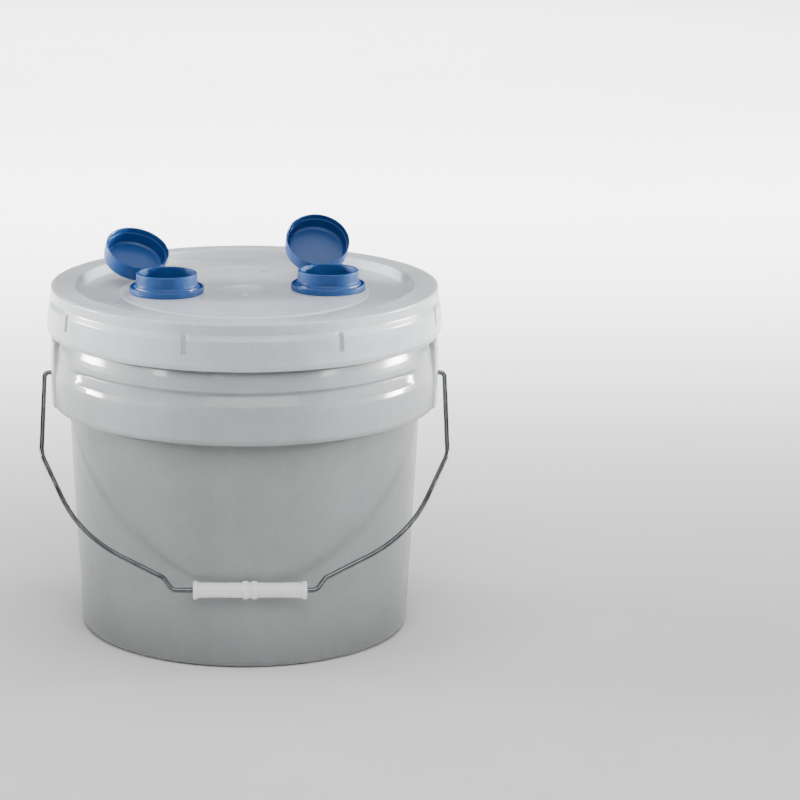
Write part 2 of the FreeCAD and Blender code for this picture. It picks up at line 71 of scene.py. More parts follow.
def rounded(points, closed=True, step=14.0):
    """Profile (r, z, fillet radius) in millimetres -> dense points with true arcs at the corners."""
    n = len(points)
    out = []
    for i, (x, y, rad) in enumerate(points):
        p = np.array((x, y), float)
        if rad <= 0 or (not closed and i in (0, n - 1)):
            out.append((x, y))
            continue
        a = np.array(points[i - 1][:2], float) - p
        b = np.array(points[(i + 1) % n][:2], float) - p
        la, lb = np.linalg.norm(a), np.linalg.norm(b)
        a, b = a / la, b / lb
        turn = math.pi - math.acos(max(-1, min(1, float(a @ b))))
        if turn < 1e-4:
            out.append((x, y))
            continue
        t = min(rad * math.tan(turn / 2), 0.499 * la, 0.499 * lb)
        rr = t / math.tan(turn / 2)
        bis = (a + b) / np.linalg.norm(a + b)
        c = p + bis * (rr / math.cos(turn / 2))
        s, e = p + a * t - c, p + b * t - c
        a0 = math.atan2(s[1], s[0])
        d = math.atan2(e[1], e[0]) - a0
        d = (d + math.pi) % (2 * math.pi) - math.pi
        k = max(2, int(math.ceil(abs(math.degrees(d)) / step)))
        for j in range(k + 1):
            ang = a0 + d * j / k
            out.append((c[0] + rr * math.cos(ang), c[1] + rr * math.sin(ang)))
    clean = []
    for q in out:
        if not clean or abs(q[0] - clean[-1][0]) + abs(q[1] - clean[-1][1]) > 1e-3:
            clean.append(q)
    return clean


def densify(prof, most, closed=True):
    """No run of the profile longer than most millimetres; most may be a function of (r, z)."""
    out = []
    n = len(prof)
    for i in range(n if closed else n - 1):
        p, q = np.array(prof[i]), np.array(prof[(i + 1) % n])
        out.append(tuple(p))
        mid = (p + q) / 2
        m = most(mid[0], mid[1]) if callable(most) else most
        k = int(math.ceil(np.linalg.norm(q - p) / m))
        for j in range(1, k):
            out.append(tuple(p + (q - p) * j / k))
    if not closed:
        out.append(tuple(prof[-1]))
    return out


def make(name, verts, faces, sharp=38.0):
    mesh = bpy.data.meshes.new(name)
    mesh.from_pydata([tuple(v) for v in verts], [], faces)
    mesh.update()
    obj = bpy.data.objects.new(name, mesh)
    scene.collection.objects.link(obj)
    tidy(obj, sharp)
    return obj


def tidy(obj, sharp=38.0):
    bm = bmesh.new()
    bm.from_mesh(obj.data)
    bmesh.ops.remove_doubles(bm, verts=bm.verts, dist=1e-7)
    bmesh.ops.recalc_face_normals(bm, faces=bm.faces)
    limit = math.radians(sharp)
    for f in bm.faces:
        f.smooth = True
    for e in bm.edges:
        e.smooth = not (len(e.link_faces) == 2 and e.calc_face_angle(0.0) > limit)
    bm.to_mesh(obj.data)
    bm.free()
    obj.data.update()


def lathe(name, prof, thetas, warp=None, sharp=38.0, link=True):
    """Turned form about Z.  prof: closed list of (r, z) in mm; a point on the axis becomes one vertex.
    warp(r, z, th) -> (r, z) arrays bends the grid, one column at a time."""
    prof = np.array(prof, float)
    n, m = len(prof), len(thetas)
    verts, index = [], np.zeros((m, n), int)
    pole = {}
    for i in range(n):
        if prof[i, 0] < 1e-6:
            pole[i] = len(verts)
            verts.append((0, 0, prof[i, 1]))
    for k, th in enumerate(thetas):
        r, z = prof[:, 0].copy(), prof[:, 1].copy()
        if warp is not None:
            r, z = warp(r, z, th)
        c, s = math.cos(th), math.sin(th)
        for i in range(n):
            if i in pole:
                index[k, i] = pole[i]
            else:
                index[k, i] = len(verts)
                verts.append((r[i] * c, r[i] * s, z[i]))
    faces = []
    for k in range(m):
        k2 = (k + 1) % m
        for i in range(n):
            i2 = (i + 1) % n
            quad = [index[k, i], index[k2, i], index[k2, i2], index[k, i2]]
            quad = [int(v) for j, v in enumerate(quad) if v not in quad[:j]]
            if len(quad) > 2:
                faces.append(quad)
    if not link:
        return [tuple(np.array(v) * MM) for v in verts], faces
    return make(name, np.array(verts) * MM, faces, sharp)


def around(count, extra=()):
    """Even azimuths plus extra ones (radians), sorted, with near repeats dropped."""
    base = [2 * math.pi * i / count for i in range(count)]
    ex = [e % (2 * math.pi) for e in extra]
    keep = [b for b in base if all(min(abs(b - e), 2 * math.pi - abs(b - e)) > 0.35 * 2 * math.pi / count for e in ex)]
    out = sorted(keep + ex)
    clean = []
    for t in out:
        if not clean or t - clean[-1] > 1e-5:
            clean.append(t)
    return clean


def angle_gap(a, b):
    return (a - b + math.pi) % (2 * math.pi) - math.pi


def tube(name, path, radius, sides=20, ends=True, wobble=None):
    """Round tube along a list of points in mm (parallel-transport frames)."""
    P = np.array(path, float)
    T = np.gradient(P, axis=0)
    T /= np.linalg.norm(T, axis=1)[:, None]
    up = np.array((0.0, 0.0, 1.0)) if abs(T[0, 2]) < 0.9 else np.array((1.0, 0.0, 0.0))
    N = np.cross(T[0], up)
    N /= np.linalg.norm(N)
    verts = []
    for i in range(len(P)):
        if i:
            v = np.cross(T[i - 1], T[i])
            s = np.linalg.norm(v)
            if s > 1e-9:
                q = Quaternion(Vector(v / s), math.asin(min(1.0, s)))
                N = np.array(q @ Vector(N))
        B = np.cross(T[i], N)
        for j in range(sides):
            a = 2 * math.pi * j / sides
            rr = radius if wobble is None else radius * (1 + wobble(i / len(P), a))
            verts.append(P[i] + rr * (math.cos(a) * N + math.sin(a) * B))
    faces = []
    for i in range(len(P) - 1):
        for j in range(sides):
            j2 = (j + 1) % sides
            faces.append((i * sides + j, i * sides + j2, (i + 1) * sides + j2, (i + 1) * sides + j))
    if ends:
        faces.append(tuple(range(sides)))
        faces.append(tuple((len(P) - 1) * sides + j for j in range(sides)))
    return np.array(verts), faces


def join(name, parts, sharp=38.0):
    verts, faces = [], []
    for v, f in parts:
        base = len(verts)
        verts += [tuple(p) for p in v]
        faces += [tuple(i + base for i in face) for face in f]
    return make(name, verts, faces, sharp)


# ------------------------------------------------------------------ materials
class Mat:
    def __init__(self, name):
        self.m = bpy.data.materials.new(name)
        self.m.use_nodes = True
        self.t = self.m.node_tree
        self.t.nodes.clear()
        self.out = self.n("ShaderNodeOutputMaterial")
        self.bsdf = self.n("ShaderNodeBsdfPrincipled")
        self.l(self.bsdf.outputs[0], self.out.inputs[0])
        self.pos = self.n("ShaderNodeTexCoord").outputs["Object"]

    def n(self, kind, **inputs):
        node = self.t.nodes.new(kind)
        for k, v in inputs.items():
            node.inputs[k.replace("_", " ")].default_value = v
        return node

    def l(self, a, b):
        self.t.links.new(a, b)

    def noise(self, scale, detail=3.0, rough=0.55, stretch=None, distortion=0.0):
        src = self.pos
        if stretch is not None:
            mp = self.n("ShaderNodeMapping")
            mp.inputs["Scale"].default_value = stretch
            self.l(self.pos, mp.inputs["Vector"])
            src = mp.outputs[0]
        node = self.n("ShaderNodeTexNoise")
        node.inputs["Scale"].default_value = scale
        node.inputs["Detail"].default_value = detail
        node.inputs["Roughness"].default_value = rough
        node.inputs["Distortion"].default_value = distortion
        self.l(src, node.inputs["Vector"])
        return node.outputs["Fac"]

    def ramp(self, value, stops):
        node = self.n("ShaderNodeValToRGB")
        el = node.color_ramp.elements
        while len(el) < len(stops):
            el.new(0.5)
        for e, (p, c) in zip(el, stops):
            e.position = p
            e.color = (c, c, c, 1) if isinstance(c, (int, float)) else tuple(c) + ((1,) if len(c) == 3 else ())
        self.l(value, node.inputs["Fac"])
        return node.outputs["Color"]

    def maprange(self, value, a, b, c, d, kind="LINEAR"):
        node = self.n("ShaderNodeMapRange")
        node.interpolation_type = kind
        for k, v in (("From Min", a), ("From Max", b), ("To Min", c), ("To Max", d)):
            node.inputs[k].default_value = v
        self.l(value, node.inputs["Value"])
        return node.outputs["Result"]

    def mix(self, fac, a, b, mode="MIX"):
        node = self.n("ShaderNodeMix")
        node.data_type = "RGBA"
        node.blend_type = mode
        for socket, v in ((node.inputs[0], fac), (node.inputs[6], a), (node.inputs[7], b)):
            if hasattr(v, "links") or hasattr(v, "node"):
                self.l(v, socket)
            elif isinstance(v, (int, float)):
                socket.default_value = v if socket == node.inputs[0] else (v, v, v, 1)
            else:
                socket.default_value = tuple(v) + ((1,) if len(v) == 3 else ())
        return node.outputs[2]

    def math(self, op, a, b=0.0):
        node = self.n("ShaderNodeMath")
        node.operation = op
        for socket, v in ((node.inputs[0], a), (node.inputs[1], b)):
            if isinstance(v, (int, float)):
                socket.default_value = v
            else:
                self.l(v, socket)
        return node.outputs[0]

    def split(self):
        node = self.n("ShaderNodeSeparateXYZ")
        self.l(self.pos, node.inputs[0])
        return node.outputs

    def bump(self, layers):
        """layers: (height socket, strength, distance in m)."""
        last = None
        for height, strength, distance in layers:
            node = self.n("ShaderNodeBump")
            node.inputs["Strength"].default_value = strength
            node.inputs["Distance"].default_value = distance
            self.l(height, node.inputs["Height"])
            if last is not None:
                self.l(last, node.inputs["Normal"])
            last = node.outputs[0]
        self.l(last, self.bsdf.inputs["Normal"])


def hdpe(name, single, double, z_lo, z_hi, rough=(0.30, 0.42), sss=0.25, radius=(0.006, 0.006, 0.006), streak=0.5, shade=1.0):
    """Natural white polyethylene: greyer where there is one thin wall, whiter where ribs back it."""
    k = Mat(name)
    z = k.split()[2]
    thick = k.maprange(z, z_lo, z_hi, 0.0, 1.0, "SMOOTHSTEP")
    cloud = k.noise(9.0, 4.0, 0.6)
    flow = k.noise(3.2, 5.0, 0.6, stretch=(22.0, 22.0, 1.2))
    fine = k.noise(420.0, 3.0, 0.6)
    base = k.mix(thick, single, double)
    # painted shade: the wall's colour is darkened towards the foot and on the single wall just under the skirt
    # overhang, by the shade factor
    low = k.maprange(z, 0.0, 0.055, shade, 1.0, "SMOOTHSTEP")
    under = k.maprange(z, 0.150, 0.183, 1.0, 0.5 + 0.5 * shade, "SMOOTHSTEP")
    tone = k.maprange(cloud, 0.3, 0.7, 0.94, 1.04)
    tone2 = k.maprange(flow, 0.3, 0.7, 1.0 - 0.05 * streak, 1.0 + 0.04 * streak)
    both = k.math("MULTIPLY", tone, tone2)
    both = k.math("MULTIPLY", both, low)
    both = k.math("MULTIPLY", both, k.math("MAXIMUM", under, thick))
    both = k.math("MULTIPLY", both, k.maprange(fine, 0.3, 0.7, 0.955, 1.035))
    both = k.math("MULTIPLY", both, k.maprange(k.noise(46.0, 5.0, 0.68, distortion=0.4), 0.3, 0.7, 0.935, 1.05))
    comb = k.n("ShaderNodeCombineColor")
    for i in range(3):
        k.l(both, comb.inputs[i])
    colour = k.mix(1.0, base, comb.outputs[0], "MULTIPLY")
    # faint scuffs left by stacking and handling
    scuff = k.noise(14.0, 6.0, 0.72, stretch=(1.0, 1.0, 5.0), distortion=1.2)
    mask = k.maprange(scuff, 0.60, 0.74, 0.0, 1.0, "SMOOTHSTEP")
    colour = k.mix(k.math("MULTIPLY", mask, 0.10), colour, (0.36, 0.36, 0.35))
    k.l(colour, k.bsdf.inputs["Base Color"])
    r = k.maprange(k.noise(26.0, 5.0, 0.65), 0.3, 0.7, rough[0], rough[1])
    r = k.math("ADD", r, k.math("MULTIPLY", mask, 0.10))
    k.l(r, k.bsdf.inputs["Roughness"])
    k.bsdf.inputs["Subsurface Weight"].default_value = sss
    k.bsdf.inputs["Subsurface Radius"].default_value = radius
    k.bsdf.inputs["Subsurface Scale"].default_value = 1.0
    k.bsdf.inputs["IOR"].default_value = 1.5
    k.bsdf.inputs["Specular IOR Level"].default_value = 0.3
    k.bsdf.inputs["Coat Weight"].default_value = 0.65
    k.bsdf.inputs["Coat Roughness"].default_value = 0.05
    k.bump([(k.noise(3.6, 2.0, 0.5), 0.25, 0.0012), (k.noise(160.0, 3.0, 0.5), 0.10, 0.00025), (fine, 0.06, 0.0001)])
    return k.m


def blue_plastic(name):
    k = Mat(name)
    cloud = k.noise(45.0, 4.0, 0.6)
    grain = k.noise(900.0, 2.0, 0.5)
    colour = k.mix(k.maprange(cloud, 0.3, 0.7, 0.0, 1.0), (0.006, 0.046, 0.185), (0.010, 0.063, 0.230))
    rub = k.maprange(k.noise(60.0, 6.0, 0.75, distortion=1.5), 0.60, 0.72, 0.0, 0.22, "SMOOTHSTEP")
    colour = k.mix(rub, colour, (0.050, 0.15, 0.37))
    k.l(colour, k.bsdf.inputs["Base Color"])
    k.l(k.math("ADD", k.maprange(cloud, 0.3, 0.7, 0.32, 0.44), k.math("MULTIPLY", rub, 0.3)), k.bsdf.inputs["Roughness"])
    k.bsdf.inputs["Specular IOR Level"].default_value = 0.4
    k.bsdf.inputs["Subsurface Weight"].default_value = 0.08
    k.bsdf.inputs["Subsurface Radius"].default_value = (0.0008, 0.0015, 0.003)
    k.bsdf.inputs["IOR"].default_value = 1.5
    k.bump([(k.noise(70.0, 2.0, 0.5), 0.12, 0.0004), (grain, 0.12, 0.00006)])
    return k.m


def wire_steel(name):
    k = Mat(name)
    drawn = k.noise(260.0, 5.0, 0.7)
    blotch = k.noise(75.0, 4.0, 0.6)
    colour = k.mix(k.maprange(blotch, 0.35, 0.65, 0.0, 1.0), (0.10, 0.103, 0.108), (0.17, 0.175, 0.183))
    dark = k.maprange(drawn, 0.60, 0.75, 0.0, 0.22, "SMOOTHSTEP")
    colour = k.mix(dark, colour, (0.08, 0.08, 0.085))
    k.l(colour, k.bsdf.inputs["Base Color"])
    k.bsdf.inputs["Metallic"].default_value = 1.0
    k.l(k.maprange(blotch, 0.3, 0.7, 0.16, 0.28), k.bsdf.inputs["Roughness"])
    k.bump([(drawn, 0.05, 0.00004), (blotch, 0.03, 0.00006)])
    return k.m


def grip_plastic(name):
    k = Mat(name)
    cloud = k.noise(60.0, 4.0, 0.6)
    colour = k.mix(k.maprange(cloud, 0.3, 0.7, 0.0, 1.0), (0.88, 0.89, 0.90), (0.93, 0.935, 0.94))
    dirt = k.maprange(k.noise(150.0, 6.0, 0.7, distortion=1.0), 0.60, 0.75, 0.0, 0.35, "SMOOTHSTEP")
    colour = k.mix(dirt, colour, (0.66, 0.655, 0.64))
    k.l(colour, k.bsdf.inputs["Base Color"])
    k.l(k.maprange(cloud, 0.3, 0.7, 0.20, 0.30), k.bsdf.inputs["Roughness"])
    k.bsdf.inputs["Subsurface Weight"].default_value = 0.2
    k.bsdf.inputs["Subsurface Radius"].default_value = (0.003, 0.003, 0.003)
    k.bump([(k.noise(90.0, 3.0, 0.5), 0.15, 0.0003), (k.noise(900.0, 2.0, 0.5), 0.08, 0.00005)])
    return k.m


def rubber(name, low, high):
    k = Mat(name)
    cloud = k.noise(80.0, 5.0, 0.65)
    colour = k.mix(k.maprange(cloud, 0.3, 0.7, 0.0, 1.0), low, high)
    k.l(colour, k.bsdf.inputs["Base Color"])
    k.l(k.maprange(cloud, 0.3, 0.7, 0.62, 0.80), k.bsdf.inputs["Roughness"])
    k.bump([(k.noise(700.0, 3.0, 0.6), 0.30, 0.0001)])
    return k.m


BODY = hdpe("bucket_hdpe", (0.310, 0.322, 0.325), (0.415, 0.430, 0.442), 0.181, 0.1875, shade=0.74)
LID = hdpe("lid_hdpe", (0.585, 0.612, 0.637), (0.585, 0.612, 0.637), 0.2, 0.21, rough=(0.26, 0.36))
BLUE = blue_plastic("port_blue")
STEEL = wire_steel("bail_steel")
WHITE = grip_plastic("grip_white")
SEAL = rubber("seal_grey", (0.30, 0.30, 0.29), (0.38, 0.38, 0.37))
BLACK = rubber("washer_black", (0.018, 0.018, 0.019), (0.035, 0.035, 0.036))

# ------------------------------------------------------------------ camera (pinhole, at the picture's own height and distance)
cam_data = bpy.data.cameras.new("camera")
cam = bpy.data.objects.new("camera", cam_data)
scene.collection.objects.link(cam)
scene.camera = cam
cam_data.sensor_width = 36.0
cam_data.lens = 3146.4 / 800.0 * 36.0
cam_data.shift_x = (400.0 - 244.5) / 800.0
cam_data.clip_end = 50.0
cam.location = (0.0, -2.4396, 0.78937)
cam.rotation_euler = (math.radians(90.0) - 0.2442, 0.0, 0.0)

# ------------------------------------------------------------------ bucket
EAR = math.radians(13.6)
EAR_SOFT = math.radians(1.5)
outer = [
    (0, 2.5, 0), (104.5, 2.5, 1.5), (107.0, 0, 1.2), (130.78, 0, 6.6),
    (139.93, 183.0, 0), (141.5, 213.6, 1.6),
    (149.9, 211.0, 1.8), (149.9, 183.3, 0.5), (152.3, 183.3, 0.7),
    (152.5, 209.3, 1.4), (151.2, 213.2, 1.0), (149.7, 215.2, 1.4), (146.4, 220.8, 1.2),
    (147.0, 222.3, 0.9), (150.7, 224.3, 0.75), (150.4, 228.6, 4.0), (149.3, 233.2, 6.0), (147.5, 238.2, 3.0), (145.2, 243.0, 2.0),
    (145.2, 257.5, 2.0), (150.2, 262.0, 1.2), (150.2, 270.5, 2.2), (148.6, 273.0, 1.6), (143.6, 273.0, 1.0),
    (143.0, 271.0, 0.5), (143.0, 259.0, 1.0), (141.3, 256.0, 1.5), (128.7, 10.0, 8.0), (124.0, 5.0, 6.0), (0, 5.0, 0),
]


def near_ear_top(r, z):
    if r > 144.5 and 206 < z < 244:
        return 0.9
    if r > 149.95 and z < 210:
        return 4.0
    return 14.0


prof = densify(rounded(outer), near_ear_top)
prof_arr = np.array(prof)
# outside faces of the skirt and ring, which the ear panels cover
cover = np.zeros(len(prof))
started = False
for i, (r, z) in enumerate(prof):
    if not started and r > 151.6 and z < 183.6:
        started = True
    if started and z < 243.5 and r > 145.0:
        cover[i] = 1.0
    if started and z >= 243.5:
        break


def ear_radius(z):
    top, soft = 239.0, 6.5
    r = np.full_like(z, 153.9)
    d = np.clip((z - (top - soft)) / soft, 0, 1)
    r = r - soft * (1 - np.sqrt(np.clip(1 - d * d, 0, 1)))
    # above the panel's top the wall drops back to the neck
    fall = np.clip((z - top) / 1.6, 0, 1)
    r = r - fall * (153.9 - soft - 145.2)
    low = np.clip((185.0 - z) / 1.7, 0, 1)
    return r - 0.7 * low * low


def bucket_warp(r, z, th):
    g = min(abs(angle_gap(th, 0.0)), abs(angle_gap(th, math.pi)))
    w = float(smooth(np.array((EAR + EAR_SOFT / 2 - g) / EAR_SOFT)))
    r2 = r.copy()
    # the groove under the ring fades out towards each ear
    fade = float(smooth(np.array((math.radians(37.0) - g) / math.radians(12.0))))
    if fade > 0:
        face = 152.35 - np.clip((z - 209.0) / 15.4, 0, 1) * 1.75
        groove = (cover > 0) & (z > 207.5) & (z < 225.2)
        r2 = np.where(groove, r2 + (np.maximum(face, r2) - r2) * fade, r2)
    if w > 0:
        target = np.maximum(ear_radius(z), 145.2)
        r2 = np.where(cover > 0, r2 + (np.maximum(target, np.where(z > 237.0, r * 0 + 145.2, r2)) - r2) * w, r2)
    return r2, z


extra = []
for side in (0.0, math.pi):
    for s in (-1, 1):
        for k in range(9):
            extra.append(side + s * (EAR - EAR_SOFT / 2 + EAR_SOFT * k / 8))
thetas = around(320, extra)
bucket = lathe("bucket", prof, thetas, bucket_warp, sharp=42.0)

# bail holes through the ears
cutters = []
for s in (-1, 1):
    bpy.ops.mesh.primitive_cylinder_add(vertices=40, radius=2.05 * MM, depth=9 * MM, location=(s * 151.5 * MM, 0, 204.2 * MM), rotation=(0, math.pi / 2, 0))
    cutters.append(bpy.context.object)
for c in cutters:
    mod = bucket.modifiers.new("hole", "BOOLEAN")
    mod.operation = "DIFFERENCE"
    mod.solver = "EXACT"
    mod.object = c
deps = bpy.context.evaluated_depsgraph_get()
cut_mesh = bpy.data.meshes.new_from_object(bucket.evaluated_get(deps))
bucket.modifiers.clear()
bucket.data = cut_mesh
for c in cutters:
    bpy.data.objects.remove(c)

# gussets behind the skirt
gus = []
for k in range(12):
    a = math.radians(15 + 30 * k)
    ca, sa = math.cos(a), math.sin(a)
    zs = [(189.0, 141.2), (214.0, 141.2)]
    section = [(140.05, 189.0), (147.6, 189.0), (150.2, 191.6), (150.2, 212.0), (141.0, 213.9)]
    v, f = [], []
    for side in (-0.9, 0.9):
        for (r, z) in section:
            v.append(((r * ca - side * sa) * MM, (r * sa + side * ca) * MM, z * MM))
    n = len(section)
    f.append(tuple(range(n)))
    f.append(tuple(range(n, 2 * n)))
    for i in range(n):
        j = (i + 1) % n
        f.append((i, j, n + j, n + i))
    gus.append((v, f))
gussets = join("bucket_gussets", gus)

# ------------------------------------------------------------------ lid
lid_prof = [
    (0, 268.3, 0), (2.6, 268.3, 0.5), (3.6, 267.1, 0.4), (12.6, 267.2, 5.0), (19.0, 269.6, 2.5), (21.2, 271.0, 0.4),
    (97.4, 271.0, 0.8), (99.0, 269.7, 0.9), (130.4, 269.7, 2.0), (133.4, 276.9, 0.8), (134.4, 277.55, 0.9),
    (150.6, 277.5, 1.5), (153.3, 276.9, 1.3), (153.2, 268.6, 1.6), (155.2, 264.2, 1.6), (156.8, 245.2, 1.3), (155.0, 241.2, 0.7),
    (152.6, 241.2, 0.6),
    (152.4, 246.0, 2.0), (151.9, 254.0, 3.0), (151.4, 264.0, 2.0), (150.8, 270.0, 1.0), (150.8, 274.6, 0.6), (150.2, 275.2, 0.4),
    (141.6, 275.2, 0.3), (141.4, 262.3, 0.6), (140.1, 262.3, 0.6), (139.6, 275.2, 0.6), (136.0, 275.2, 1.0),
    (132.8, 268.1, 1.2), (131.8, 267.3, 1.0), (97.6, 267.3, 0.6), (96.4, 268.6, 0.8), (22.0, 268.6, 0.8), (19.6, 267.1, 2.0), (13.0, 264.7, 5.0), (0, 264.7, 0),
]
NOTCHES = [math.radians(-62.1 + 45 * k) for k in range(8)]
N_TOP, N_BOT, N_HALF = 269.2, 252.8, 2.1


def lid_step(r, z):
    if r > 152.7 and 240 < z < 277:
        return 1.3
    return 22.0


lp = rounded(lid_prof)
# rows no more than 1.3 mm apart over the skirt band, where the notches are cut
lp = densify(lp, lid_step)
lp_arr = np.array(lp)
band = (lp_arr[:, 0] > 152.75) & (lp_arr[:, 1] > 241.5) & (lp_arr[:, 1] < 276)


def lid_warp(r, z, th):
    g = min(abs(angle_gap(th, a)) for a in NOTCHES) * 154.5
    side = float(smooth(np.array((N_HALF + 0.25 - g) / 0.5)))
    if side <= 0:
        return r, z
    up = smooth((N_TOP - z) / 0.9) * smooth((z - N_BOT) / 0.9)
    deep = np.minimum(r, 153.35 + 0.0 * r)
    return np.where(band, r + (deep - r) * up * side, r), z


extra = []
for a in NOTCHES:
    for d in (-N_HALF - 0.25, -N_HALF - 0.1, -N_HALF + 0.1, -N_HALF + 0.25, -1.0, 0.0, 1.0, N_HALF - 0.25, N_HALF - 0.1, N_HALF + 0.1, N_HALF + 0.25):
        extra.append(a + d / 154.5)
lid = lathe("lid", lp, around(320, extra), lid_warp, sharp=42.0)

# the two round holes that the ports sit in
PORTS = {"left": (-61.5, -6.0), "right": (66.4, 6.0)}
cutters = []
for x, y in PORTS.values():
    bpy.ops.mesh.primitive_cylinder_add(vertices=96, radius=24.4 * MM, depth=20 * MM, location=(x * MM, y * MM, 270 * MM))
    cutters.append(bpy.context.object)
for c in cutters:
    mod = lid.modifiers.new("hole", "BOOLEAN")
    mod.operation = "DIFFERENCE"
    mod.solver = "EXACT"
    mod.object = c
deps = bpy.context.evaluated_depsgraph_get()
cut_mesh = bpy.data.meshes.new_from_object(lid.evaluated_get(deps))
lid.modifiers.clear()
lid.data = cut_mesh
for c in cutters:
    bpy.data.objects.remove(c)

# ------------------------------------------------------------------ ports
TOP = 286.8
neck_prof = [
    (21.9, 258.0, 0.3), (24.15, 258.0, 0.4), (24.15, 271.0, 0.0), (29.0, 271.0, 0.4), (29.5, 272.0, 0.6), (29.6, 275.4, 0.5), (28.9, 276.2, 0.45),
    (28.1, 276.0, 0.4), (27.3, 273.9, 0.6), (26.3, 273.9, 0.5), (25.9, 276.4, 0.4), (25.3, 277.2, 0.5), (24.5, 277.2, 0.3), (24.15, 277.9, 0.4),
    (24.2, TOP - 0.55, 0.5), (23.75, TOP, 0.35), (22.3, TOP, 0.35), (21.95, TOP - 0.5, 0.4),
]
cap_prof = [
    (25.15, TOP - 4.0, 0.25), (25.75, TOP - 4.0, 0.3), (25.65, TOP + 2.0, 4.0), (25.35, TOP + 8.0, 3.0), (24.3, TOP + 10.4, 2.4), (22.0, TOP + 11.5, 2.4),
    (0, TOP + 11.5, 0), (0, TOP + 9.9, 0), (21.4, TOP + 9.9, 1.6), (23.1, TOP + 8.6, 1.2), (23.75, TOP + 0.45, 0.3),
    (24.6, TOP + 0.4, 0.25), (24.62, TOP - 3.3, 0.3),
]
parts = {}
